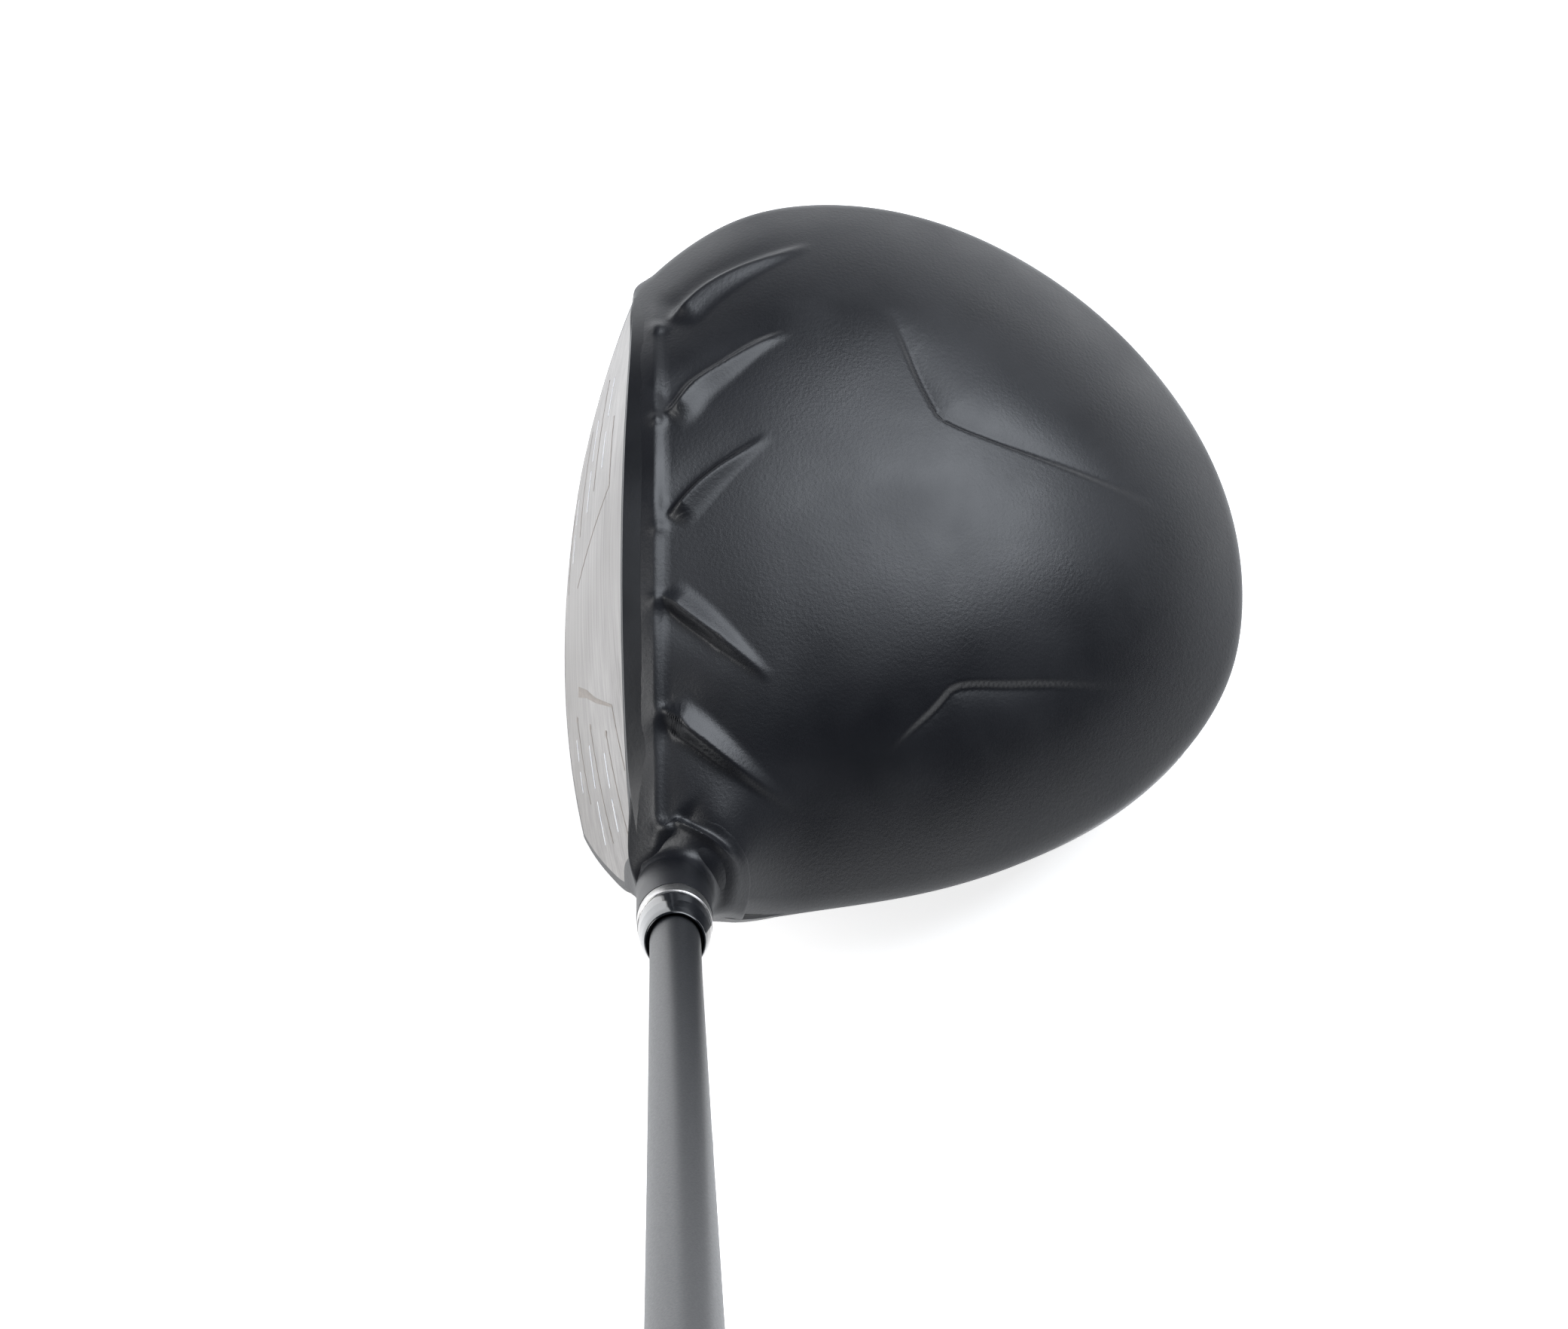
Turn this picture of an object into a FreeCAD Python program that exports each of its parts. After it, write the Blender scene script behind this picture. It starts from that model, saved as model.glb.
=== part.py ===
"""Right-handed adjustable golf driver, in millimetres, soled at address.

The origin is the middle of the sole's rest pad. +Z is up, -Y is towards the target,
-X is the toe and +X the heel, so the shaft leans up towards +X at the lie angle.
Every function below makes one physical piece of the club, and build() writes them all.
"""
import FreeCAD, Part
import math
import os
from bisect import bisect_right
from FreeCAD import Vector

# Club geometry
LIE = 59.5                      # shaft to ground, degrees
LOFT = 10.5                     # face to vertical, degrees
HOSEL_TOP = Vector(68.5, -20.0, 64.0)   # shaft axis at the top of the hosel

# Face: a lofted plane with bulge (heel to toe) and roll (top to bottom)
FACE_MID_X = -1.5
FACE_MID_Y = -36.0
FACE_MID_Z = 30.0
BULGE_RADIUS = 225.0
ROLL_RADIUS = 290.0

# Crown: highest point, its two radii, and how quickly it falls away to the rim
PEAK = Vector(-6.0, 0.0, 62.3)
CROWN_RADIUS_X = 140.0
CROWN_RADIUS_Y = 185.0
CROWN_SHOULDER = 3.6
HOSEL_SWELL = 5.0               # how far the crown rises round the hosel
HOSEL_SWELL_WIDTH = 11.0
HOSEL_SWELL_X = 60.5            # where the shaft axis passes through the crown

# Rim: the crown's edge, from the toe end of the face round the back to the heel
RIM_BACK = [
    (-65.0, -20.0, 38.5), (-72.8, -8.0, 38.5), (-76.0, 8.0, 38.0), (-74.5, 25.0, 36.0),
    (-65.2, 47.0, 33.0), (-44.5, 68.8, 31.0), (-20.3, 80.5, 29.5), (-3.0, 82.3, 28.5),
    (10.3, 80.0, 28.0), (32.3, 64.3, 27.5), (43.0, 48.5, 27.5), (52.5, 23.5, 29.0),
    (57.0, 2.0, 32.0), (60.0, -12.0, 37.0),
]
# Topline: where the crown meets the face, heel to toe, as X and height
RIM_FRONT = [(57.0, 41.0), (42.0, 49.0), (22.0, 56.5), (0.0, 60.0), (-22.0, 58.5), (-42.0, 52.0),
             (-55.0, 43.0)]
FRONT_REACH = 16.0              # how far the uncut block runs ahead of the face

# Skirt and sole
SKIRT_TUCK = 34.0               # how far the skirt curves in on its way down
SKIRT_POWER = 1.6               # at the toe and heel; the back stays upright for longer
BACK_SKIRT_POWER = 2.6
BACK_SKIRT_START = 20.0         # Y where the skirt begins to change to its back form
BACK_SKIRT_BLEND = 45.0
FACE_END_POWER = 1.3
HEAD_REACH = 65.0               # usual distance from the crown's peak out to the rim
SOLE_RADIUS_X = 100.0
SOLE_RADIUS_Y = 185.0
SOLE_PAD = 0.3                  # depth of the flat rest pad under the curved sole
SKIRT_LEVELS = [-4, 4, 12, 20, 28, 36, 46, 58, 76]   # heights of the outlines it is lofted through

# Thicknesses
FACE_THICKNESS = 3.0
FACE_LIP = 1.0                  # rim of body metal above and below the face plate
FACE_END_LIP = 2.0              # and at its toe and heel ends
CROWN_THICKNESS = 1.2
BOND_THICKNESS = 0.25
WALL = 1.3
LEDGE_THICKNESS = 1.2
LEDGE_WIDTH = 7.5
BOND_EDGE = 0.5
OPENING_FLOOR = 20.0

# Hosel, sleeve and bolt, as radii and as distances up the shaft from the hosel's top
HOSEL_R = 6.35
HOSEL_BOSS_R = 7.0              # the hosel's wider part inside the head
HOSEL_BORE_R = 5.35
HOSEL_BORE_DEPTH = 52.0
BOLT_SEAT_DEPTH = 56.0
BOLT_HOLE_R = 2.9
BOLT_PORT_R = 4.9
NECK_DEPTH = 30.0               # how far the bare neck runs down into the head
ISLAND_R = 9.0                  # disc of body metal round the hosel, where the crown is notched
SLEEVE_R = 5.3
SLEEVE_DEPTH = 35.5
SHAFT_TIP_DEPTH = 23.5
RING_HEIGHT = 5.0
TANG_DEPTH = 2.2
TANG_WIDTH = 2.0
TANG_COUNT = 4
TANG_CLEARANCE = 0.1
FERRULE_TOP = 15.8
FERRULE_BASE_R = 6.15
FERRULE_TOP_R = 5.15
FERRULE_RECESS_R = 4.75
FERRULE_RECESS_DEPTH = 1.6
BOLT_R = 2.45
BOLT_TIP_DEPTH = 26.0
BOLT_HEAD_R = 4.3
BOLT_HEAD_HEIGHT = 4.0
BOLT_WASHER_THICKNESS = 0.8
BOLT_SOCKET = 4.0               # across flats
THREAD_CLEARANCE = 0.05
FACE_GAP = 0.05                 # air between faces that meet across a joint
OVERCUT = 0.1                   # how far a cut runs past the face that it ends on

# Shaft, as distance up from the hosel's top and outside radius
SHAFT_PROFILE = [(-23.5, 4.25), (34.0, 4.27), (140.0, 4.72), (240.0, 5.24), (500.0, 6.25), (850.0, 7.45),
                 (1086.0, 7.65)]
SHAFT_TIP_WALL = 1.9
SHAFT_BUTT_WALL = 1.0
TAPE_THICKNESS = 0.25
GRIP_LENGTH = 267.0
GRIP_MOUTH_R = 9.9
GRIP_BUTT_R = 13.1
GRIP_RIM = 0.6                  # how far the mouth's bead stands up
GRIP_BEAD = (1.5, 7.0, 9.0)     # heights where the bead is full, begins to fall and has gone
GRIP_WAIST = (120.0, 1.0)       # height where the lower taper ends, and its rise
GRIP_BUTT_LENGTH = 12.0
GRIP_CAP_R = 13.7
GRIP_CAP_HEIGHT = 6.0
VENT_R = 1.6
COUNTERWEIGHT_LENGTH = 10.0

# Rear weight track: arcs about a vertical axis, angles from +X
TRACK_X = -3.5
TRACK_Y = 32.0
TRACK_MID_Z = 21.5
HEEL_ANGLE = 61.0               # the weight's heel setting, where it is at rest
WEIGHT_TRAVEL = 58.0            # to the toe setting
WEIGHT_HALF_ANGLE = 7.5
TRACK_END_CLEARANCE = 2.0
WEIGHT_OUTER_R = 47.8
TRACK_OUTER_R = 58.0            # past the skirt everywhere
LIP_R = 43.2                    # inner face of the track's lips
CHAMBER_R = 39.0
HOUSING_R = 37.5
SLOT_HALF_HEIGHT = 3.8
CHAMBER_HALF_HEIGHT = 6.0
HOUSING_HALF_HEIGHT = 7.6
SLIDE_GAP = 0.3
SHOE_THICKNESS = 0.5
SCREW_R = 2.0
SCREW_HEAD_R = 2.9
SCREW_HEAD_HEIGHT = 2.6
SCREW_WASHER_THICKNESS = 0.6
SCREW_SINK = 0.4                # how far the head sits below the weight's face
SCREW_SOCKET = 2.5              # across flats

FAR = 160.0


# ---------------------------------------------------------------- head surfaces
def face_y(x, z, behind=0.0):
    """Y of the hitting face at X and height Z, or of a surface that far behind it."""
    bulge = (x - FACE_MID_X) ** 2 / (2 * BULGE_RADIUS)
    height = z - FACE_MID_Z
    roll = height ** 2 / (2 * ROLL_RADIUS)
    return FACE_MID_Y + bulge + roll + height * math.tan(math.radians(LOFT)) + behind


def rim_points():
    """The closed rim, once round from the toe, with the topline lying on the face."""
    front = [(x, face_y(x, z), z) for x, z in RIM_FRONT]
    return [Vector(*p) for p in RIM_BACK + front]


def polar_rim(samples=900):
    """Distance and height of the rim at every angle about the crown's peak."""
    curve = Part.BSplineCurve()
    curve.interpolate(Points=rim_points(), PeriodicFlag=True)
    first, last = curve.FirstParameter, curve.LastParameter
    table = []
    for i in range(samples):
        p = curve.value(first + (last - first) * i / samples)
        angle = math.atan2(p.y - PEAK.y, p.x - PEAK.x)
        table.append((angle, math.hypot(p.x - PEAK.x, p.y - PEAK.y), p.z))
    table.sort()
    before = table[-1]
    after = table[0]
    table.insert(0, (before[0] - 2 * math.pi, before[1], before[2]))
    table.append((after[0] + 2 * math.pi, after[1], after[2]))
    return table


RIM = polar_rim()
RIM_ANGLES = [row[0] for row in RIM]


def rim_at(angle):
    """Distance and height of the rim in one direction from the crown's peak."""
    i = min(max(bisect_right(RIM_ANGLES, angle), 1), len(RIM) - 1)
    a, b = RIM[i - 1], RIM[i]
    t = (angle - a[0]) / (b[0] - a[0])
    return a[1] + t * (b[1] - a[1]), a[2] + t * (b[2] - a[2])


def dome_drop(dx, dy):
    return dx ** 2 / (2 * CROWN_RADIUS_X) + dy ** 2 / (2 * CROWN_RADIUS_Y)


def hosel_swell(x, y):
    """The crown's rise round the hosel."""
    away = math.hypot(x - HOSEL_SWELL_X, y - HOSEL_TOP.y)
    return HOSEL_SWELL * math.exp(-0.5 * (away / HOSEL_SWELL_WIDTH) ** 2)


def crown_z(x, y):
    """Height of the crown: a dome that falls faster near the rim, and runs on past it."""
    dx, dy = x - PEAK.x, y - PEAK.y
    distance = math.hypot(dx, dy)
    rim, rim_height = rim_at(math.atan2(dy, dx))
    share = distance / rim
    edge_drop = PEAK.z - rim_height - dome_drop(dx / max(share, 1e-6), dy / max(share, 1e-6))
    if share <= 1.0:
        shoulder = share ** CROWN_SHOULDER
    else:
        shoulder = 1.0 + CROWN_SHOULDER * (share - 1.0)
    return PEAK.z - dome_drop(dx, dy) - edge_drop * shoulder + hosel_swell(x, y)


def sole_z(x, y):
    return x ** 2 / (2 * SOLE_RADIUS_X) + y ** 2 / (2 * SOLE_RADIUS_Y) - SOLE_PAD


def spaced(low, high, count):
    return [low + (high - low) * i / (count - 1) for i in range(count)]


def surface(rows):
    sheet = Part.BSplineSurface()
    sheet.interpolate(rows)
    return sheet.toShape()


def crown_sheet(depth):
    rows = [[Vector(x, y, crown_z(x, y) - depth) for y in spaced(-62, 98, 33)] for x in spaced(-95, 80, 36)]
    return surface(rows)


def under_crown(depth=0.0):
    """Everything below the crown, or below a surface that far under it."""
    return crown_sheet(depth).extrude(Vector(0, 0, -FAR))


def crown_layer(depth, thickness):
    """A layer that follows the crown, with its underside that far below it."""
    return crown_sheet(depth).extrude(Vector(0, 0, thickness))


def over_sole(thickness=0.0):
    """Everything above the curved sole and its flat pad, or above an inner sole."""
    rows = [[Vector(x, y, sole_z(x, y) + thickness) for y in spaced(-70, 110, 10)] for x in spaced(-110, 110, 12)]
    above = surface(rows).extrude(Vector(0, 0, FAR))
    pad = Part.makeBox(2 * FAR, 2 * FAR, FAR, Vector(-FAR, -FAR, thickness))
    return above.common(pad)


def ahead_of_face(behind=0.0):
    """Everything on the target's side of the face, or of a surface behind it."""
    rows = [[Vector(x, face_y(x, z, behind), z) for z in spaced(-20, 90, 9)] for x in spaced(-100, 100, 11)]
    return surface(rows).extrude(Vector(0, -FAR, 0))


def skirt_power(y):
    """How late the skirt starts to curve in, from the middle of the head to its back."""
    share = min(max((y - BACK_SKIRT_START) / BACK_SKIRT_BLEND, 0.0), 1.0)
    return SKIRT_POWER + (BACK_SKIRT_POWER - SKIRT_POWER) * share


def skirt_section(z, inset):
    """The block's outline at one height, as a closed curve, shrunk towards the peak by the inset."""
    share = 1.0 - inset / HEAD_REACH
    rim = rim_points()
    ends = (len(RIM_BACK), len(rim) - 1)
    outline = [(p, 0.0) for p in rim[:ends[0] + 1]] + [(p, FRONT_REACH) for p in rim[ends[0]:]] + [(rim[ends[1]], 0.0)]
    points = []
    for index, (p, reach) in enumerate(outline):
        drop = max(1.0 - z / p.z, 0.0)
        out = Vector(p.x - PEAK.x, p.y - PEAK.y, 0)
        x, y = out.x, out.y
        out.normalize()
        if index < len(RIM_BACK):
            tuck = SKIRT_TUCK * drop ** skirt_power(p.y)
            x, y = x - out.x * tuck, y - out.y * tuck
        else:
            tuck = SKIRT_TUCK * drop ** FACE_END_POWER
            x, y = x - out.x * tuck, y - out.y * tuck * (reach == 0.0) - reach
        points.append(Vector(PEAK.x + share * x, PEAK.y + share * y, z))
    curve = Part.BSplineCurve()
    curve.interpolate(Points=points, PeriodicFlag=True)
    return Part.Wire(curve.toShape())


def upright_block(inset=0.0):
    """The head's plan shape with its tucked-in skirt, before crown, sole and face cut it."""
    return Part.makeLoft([skirt_section(z, inset) for z in SKIRT_LEVELS], True, False)


def facing_out(shape):
    """The same solid with its faces' normals pointing outwards."""
    return shape if shape.Volume > 0 else shape.reversed()


def head_block(wall, top, bottom, front):
    block = upright_block(wall).common(under_crown(top)).common(over_sole(bottom))
    return block.cut(ahead_of_face(front))


# ---------------------------------------------------------------- helpers
def on_hosel(shape):
    """Place a shape that was made round +Z on the shaft axis, with Z = 0 at the hosel's top."""
    tilt = FreeCAD.Rotation(Vector(0, 1, 0), 90.0 - LIE)
    placed = shape.copy()
    placed.Placement = FreeCAD.Placement(HOSEL_TOP, tilt)
    return placed


def rod(radius, low, high):
    return Part.makeCylinder(radius, high - low, Vector(0, 0, low))


def tube(outer, inner, low, high):
    return rod(outer, low, high).cut(rod(inner, low - 1, high + 1))


def turned(profile):
    """Revolve a closed outline of (radius, height) points round +Z."""
    points = [Vector(r, 0, z) for r, z in profile]
    face = Part.Face(Part.makePolygon(points + points[:1]))
    return face.revolve(Vector(0, 0, 0), Vector(0, 0, 1), 360)


def hex_socket(across, low, high):
    corners = [Vector(across / math.sqrt(3) * math.cos(math.radians(60 * i)),
                      across / math.sqrt(3) * math.sin(math.radians(60 * i)), low) for i in range(6)]
    return Part.Face(Part.makePolygon(corners + corners[:1])).extrude(Vector(0, 0, high - low))


def sector(inner, outer, half_height, low_angle, high_angle):
    """An arc of rectangular section about the weight track's axis."""
    base = Vector(TRACK_X, TRACK_Y, TRACK_MID_Z - half_height)
    sweep = high_angle - low_angle
    big = Part.makeCylinder(outer, 2 * half_height, base, Vector(0, 0, 1), sweep)
    small = Part.makeCylinder(inner, 2 * half_height, base, Vector(0, 0, 1), sweep)
    ring = big.cut(small)
    ring.rotate(base, Vector(0, 0, 1), low_angle)
    return ring


def on_weight_screw(shape):
    """Place a shape made round +Z on the weight screw's axis, with Z = 0 on the track's axis."""
    lean = FreeCAD.Rotation(Vector(0, 0, 1), HEEL_ANGLE).multiply(FreeCAD.Rotation(Vector(0, 1, 0), 90))
    placed = shape.copy()
    placed.Placement = FreeCAD.Placement(Vector(TRACK_X, TRACK_Y, TRACK_MID_Z), lean)
    return placed


def shaft_radius(height):
    for (z0, r0), (z1, r1) in zip(SHAFT_PROFILE, SHAFT_PROFILE[1:]):
        if height <= z1:
            return r0 + (r1 - r0) * (height - z0) / (z1 - z0)
    return SHAFT_PROFILE[-1][1]


def shaft_outline(low, high, extra=0.0):
    """The shaft's outside between two heights, bottom to top, that much larger."""
    inner = [z for z, _ in SHAFT_PROFILE if low < z < high]
    return [(shaft_radius(z) + extra, z) for z in [low] + inner + [high]]


def sleeved(outer, low, high, extra=0.0):
    """A turned piece with this outside, bored to fit the shaft."""
    return turned(outer + shaft_outline(low, high, extra)[::-1])


# ---------------------------------------------------------------- head
def hosel_island():
    return on_hosel(rod(ISLAND_R, -60, 20))


def make_face_plate():
    plate = face_pocket().cut(ahead_of_face())
    return plate.cut(on_hosel(rod(HOSEL_R, -90, 20)))


def make_crown(outer):
    shell = outer.common(crown_layer(CROWN_THICKNESS, 2 * CROWN_THICKNESS))
    return shell.cut(ahead_of_face(FACE_THICKNESS)).cut(hosel_island())


def make_crown_bond():
    """The adhesive between the crown and the ledge that holds it up, all round."""
    layer = crown_layer(CROWN_THICKNESS + BOND_THICKNESS, BOND_THICKNESS).common(upright_block(BOND_EDGE))
    layer = layer.cut(ahead_of_face(FACE_THICKNESS + BOND_EDGE))
    return facing_out(layer.cut(hosel_island()).cut(crown_opening()))


def weight_track():
    """The T-shaped groove that the rear weight slides along."""
    low = HEEL_ANGLE - WEIGHT_HALF_ANGLE - TRACK_END_CLEARANCE
    high = HEEL_ANGLE + WEIGHT_TRAVEL + WEIGHT_HALF_ANGLE + TRACK_END_CLEARANCE
    slot = sector(CHAMBER_R, TRACK_OUTER_R, SLOT_HALF_HEIGHT, low, high)
    chamber = sector(CHAMBER_R, LIP_R, CHAMBER_HALF_HEIGHT, low, high)
    return slot.fuse(chamber)


def weight_housing():
    low = HEEL_ANGLE - WEIGHT_HALF_ANGLE - 2 * TRACK_END_CLEARANCE
    high = HEEL_ANGLE + WEIGHT_TRAVEL + WEIGHT_HALF_ANGLE + 2 * TRACK_END_CLEARANCE
    return sector(HOUSING_R, TRACK_OUTER_R, HOUSING_HALF_HEIGHT, low, high)


def tang_notches(clearance):
    """Square keys round the hosel's top edge, that stop the ring turning."""
    keys = []
    for i in range(TANG_COUNT):
        width = TANG_WIDTH + 2 * clearance
        low = -TANG_DEPTH - clearance
        key = Part.makeBox(HOSEL_R, width, 1.0 - low, Vector(0, -width / 2, low))
        key.rotate(Vector(0, 0, 0), Vector(0, 0, 1), 45 + 360 * i / TANG_COUNT)
        keys.append(key)
    return keys[0].multiFuse(keys[1:])


def crown_seat():
    """The room that the crown and its bond take off the top of the body."""
    depth = CROWN_THICKNESS + BOND_THICKNESS
    return crown_layer(depth, 6 * CROWN_THICKNESS).cut(ahead_of_face(FACE_THICKNESS)).cut(hosel_island())


def body_hollow():
    """The inside of the body, less the solid metal round the hosel and the weight track."""
    depth = CROWN_THICKNESS + BOND_THICKNESS + LEDGE_THICKNESS
    hollow = head_block(WALL, depth, WALL, FACE_THICKNESS - OVERCUT)
    return hollow.cut(weight_housing()).cut(on_hosel(rod(HOSEL_BOSS_R, -90, 20)))


def crown_opening():
    """The hole inside the ledge, that the crown closes."""
    opening = head_block(LEDGE_WIDTH, 0.5 * CROWN_THICKNESS, OPENING_FLOOR, FACE_THICKNESS + LEDGE_WIDTH)
    return opening.cut(hosel_island())


def face_pocket():
    block = upright_block(FACE_END_LIP).common(under_crown(FACE_LIP)).common(over_sole(FACE_LIP))
    return block.common(ahead_of_face(FACE_THICKNESS))


def make_body(outer):
    shell = outer
    for hole in (crown_seat(), body_hollow(), crown_opening(), face_pocket()):
        shell = shell.cut(hole)
    shell = shell.fuse(on_hosel(rod(HOSEL_R, -NECK_DEPTH, 0)))
    bores = [rod(HOSEL_BORE_R, -HOSEL_BORE_DEPTH, 10), rod(BOLT_HOLE_R, -BOLT_SEAT_DEPTH - 1, -40)]
    bores.append(rod(BOLT_PORT_R, -110, -BOLT_SEAT_DEPTH))
    for bore in bores:
        shell = shell.cut(on_hosel(bore))
    notches = tang_notches(TANG_CLEARANCE).cut(rod(HOSEL_BORE_R - 0.5, -10, 10))
    return shell.cut(on_hosel(notches)).cut(weight_track())


# ---------------------------------------------------------------- hosel parts
def make_hosel_ring():
    band = tube(HOSEL_R, HOSEL_BORE_R, FACE_GAP, RING_HEIGHT - FACE_GAP)
    tangs = tang_notches(0.0).common(tube(HOSEL_R - TANG_CLEARANCE, HOSEL_BORE_R, -TANG_DEPTH, FACE_GAP + 1))
    return on_hosel(band.fuse(tangs).removeSplitter())


def make_hosel_sleeve():
    stem = rod(SLEEVE_R, -SLEEVE_DEPTH, RING_HEIGHT)
    bore = turned([(0, -SHAFT_TIP_DEPTH), (0, RING_HEIGHT)] + shaft_outline(-SHAFT_TIP_DEPTH, RING_HEIGHT)[::-1])
    stem = stem.cut(bore)
    return on_hosel(stem.cut(rod(BOLT_R + THREAD_CLEARANCE, -SLEEVE_DEPTH, -SHAFT_TIP_DEPTH)))


def make_ferrule():
    outside = [(FERRULE_BASE_R, RING_HEIGHT), (FERRULE_BASE_R - 0.15, RING_HEIGHT + 3.0),
               (FERRULE_TOP_R + 0.35, FERRULE_TOP - 2.5), (FERRULE_TOP_R, FERRULE_TOP)]
    recess = FERRULE_TOP - FERRULE_RECESS_DEPTH
    lip = [(FERRULE_RECESS_R, FERRULE_TOP), (FERRULE_RECESS_R, recess)]
    return on_hosel(sleeved(outside + lip, RING_HEIGHT, recess))


def make_tip_plug():
    bore = SHAFT_PROFILE[0][1] - SHAFT_TIP_WALL
    return on_hosel(rod(bore, -SHAFT_TIP_DEPTH, -SHAFT_TIP_DEPTH + 12))


def make_hosel_bolt():
    seat = -BOLT_SEAT_DEPTH - FACE_GAP - BOLT_WASHER_THICKNESS - FACE_GAP
    head = rod(BOLT_HEAD_R, seat - BOLT_HEAD_HEIGHT, seat)
    socket = hex_socket(BOLT_SOCKET, seat - BOLT_HEAD_HEIGHT, seat - 1.2)
    return on_hosel(rod(BOLT_R, seat, -BOLT_TIP_DEPTH).fuse(head).cut(socket))


def make_bolt_washer():
    top = -BOLT_SEAT_DEPTH - FACE_GAP
    return on_hosel(tube(BOLT_HEAD_R + 0.1, BOLT_R + THREAD_CLEARANCE, top - BOLT_WASHER_THICKNESS, top))


def make_bolt_retainer():
    return on_hosel(tube(HOSEL_BORE_R, BOLT_R + THREAD_CLEARANCE, -HOSEL_BORE_DEPTH, -HOSEL_BORE_DEPTH + 2.0))


# ---------------------------------------------------------------- shaft and grip
def shaft_end():
    return SHAFT_PROFILE[-1][0]


def shaft_bore_radius(height):
    low, high = SHAFT_PROFILE[0][0], shaft_end()
    share = (height - low) / (high - low)
    return shaft_radius(height) - (SHAFT_TIP_WALL + (SHAFT_BUTT_WALL - SHAFT_TIP_WALL) * share)


def make_shaft():
    outside = shaft_outline(-SHAFT_TIP_DEPTH, shaft_end())
    tip_bore = SHAFT_PROFILE[0][1] - SHAFT_TIP_WALL
    inside = [(shaft_bore_radius(z), z) for z, _ in SHAFT_PROFILE if z > 0]
    inside = [(tip_bore, -SHAFT_TIP_DEPTH), (tip_bore, 0.0)] + inside
    return on_hosel(turned(outside + inside[::-1]))


def make_counterweight():
    high = shaft_end() - 4.0
    low = high - COUNTERWEIGHT_LENGTH
    bores = [(shaft_bore_radius(z), z) for z in (low, high)]
    return on_hosel(turned([(0, low)] + bores + [(0, high)]))


def grip_low():
    return shaft_end() - GRIP_LENGTH


def make_grip_tape():
    low, high = grip_low() + 2.0, shaft_end()
    return on_hosel(turned(shaft_outline(low, high, TAPE_THICKNESS) + shaft_outline(low, high)[::-1]))


def make_grip():
    low, high = grip_low(), shaft_end()
    full, falling, gone = GRIP_BEAD
    waist, rise = GRIP_WAIST
    outside = [(GRIP_MOUTH_R - GRIP_RIM, low), (GRIP_MOUTH_R + GRIP_RIM, low + full),
               (GRIP_MOUTH_R + GRIP_RIM, low + falling), (GRIP_MOUTH_R, low + gone),
               (GRIP_MOUTH_R + rise, low + waist), (GRIP_BUTT_R, high - GRIP_BUTT_LENGTH), (GRIP_BUTT_R, high)]
    bore = shaft_outline(low + 2.0, high, TAPE_THICKNESS)
    mouth = [(shaft_radius(low + 2.0), low + 2.0), (shaft_radius(low), low)]
    return on_hosel(turned(outside + bore[::-1] + mouth))


def make_grip_cap():
    low = shaft_end()
    high = low + GRIP_CAP_HEIGHT
    outline = [(VENT_R, low), (GRIP_CAP_R - 0.5, low), (GRIP_CAP_R, low + 0.5), (GRIP_CAP_R, high - 1.5),
               (GRIP_CAP_R - 1.2, high - 0.4), (GRIP_CAP_R - 4.0, high), (VENT_R, high)]
    return on_hosel(turned(outline))


# ---------------------------------------------------------------- rear weight
def weight_span(outer, inner, half_height):
    return sector(inner, outer, half_height, HEEL_ANGLE - WEIGHT_HALF_ANGLE, HEEL_ANGLE + WEIGHT_HALF_ANGLE)


def screw_seat():
    return WEIGHT_OUTER_R - SCREW_HEAD_HEIGHT - SCREW_WASHER_THICKNESS - SCREW_SINK


def make_rear_weight():
    block = weight_span(WEIGHT_OUTER_R, LIP_R - SLIDE_GAP, SLOT_HALF_HEIGHT - SLIDE_GAP)
    block = block.cut(on_weight_screw(rod(SCREW_R + 0.25, 30, 60)))
    return block.cut(on_weight_screw(rod(SCREW_HEAD_R + 0.15, screw_seat(), 60)))


def make_weight_shoe():
    """Thin slippery strip that the clamp plate bears on, inside the track's lips."""
    outer = LIP_R - SLIDE_GAP
    plate = weight_span(outer, outer - SHOE_THICKNESS, CHAMBER_HALF_HEIGHT - SLIDE_GAP)
    return plate.cut(on_weight_screw(rod(SCREW_R + 0.25, 30, 60)))


def make_weight_clamp():
    outer = LIP_R - SLIDE_GAP - SHOE_THICKNESS
    plate = weight_span(outer, CHAMBER_R + SLIDE_GAP, CHAMBER_HALF_HEIGHT - SLIDE_GAP)
    return plate.cut(on_weight_screw(rod(SCREW_R + THREAD_CLEARANCE, 30, 60)))


def make_weight_screw():
    under_head = screw_seat() + SCREW_WASHER_THICKNESS + 2 * FACE_GAP
    head = rod(SCREW_HEAD_R, under_head, under_head + SCREW_HEAD_HEIGHT)
    socket = hex_socket(SCREW_SOCKET, under_head + 1.0, under_head + SCREW_HEAD_HEIGHT)
    return on_weight_screw(rod(SCREW_R, CHAMBER_R + SLIDE_GAP, under_head).fuse(head).cut(socket))


def make_screw_washer():
    low = screw_seat() + FACE_GAP
    return on_weight_screw(tube(SCREW_HEAD_R, SCREW_R + THREAD_CLEARANCE, low, low + SCREW_WASHER_THICKNESS))


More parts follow.
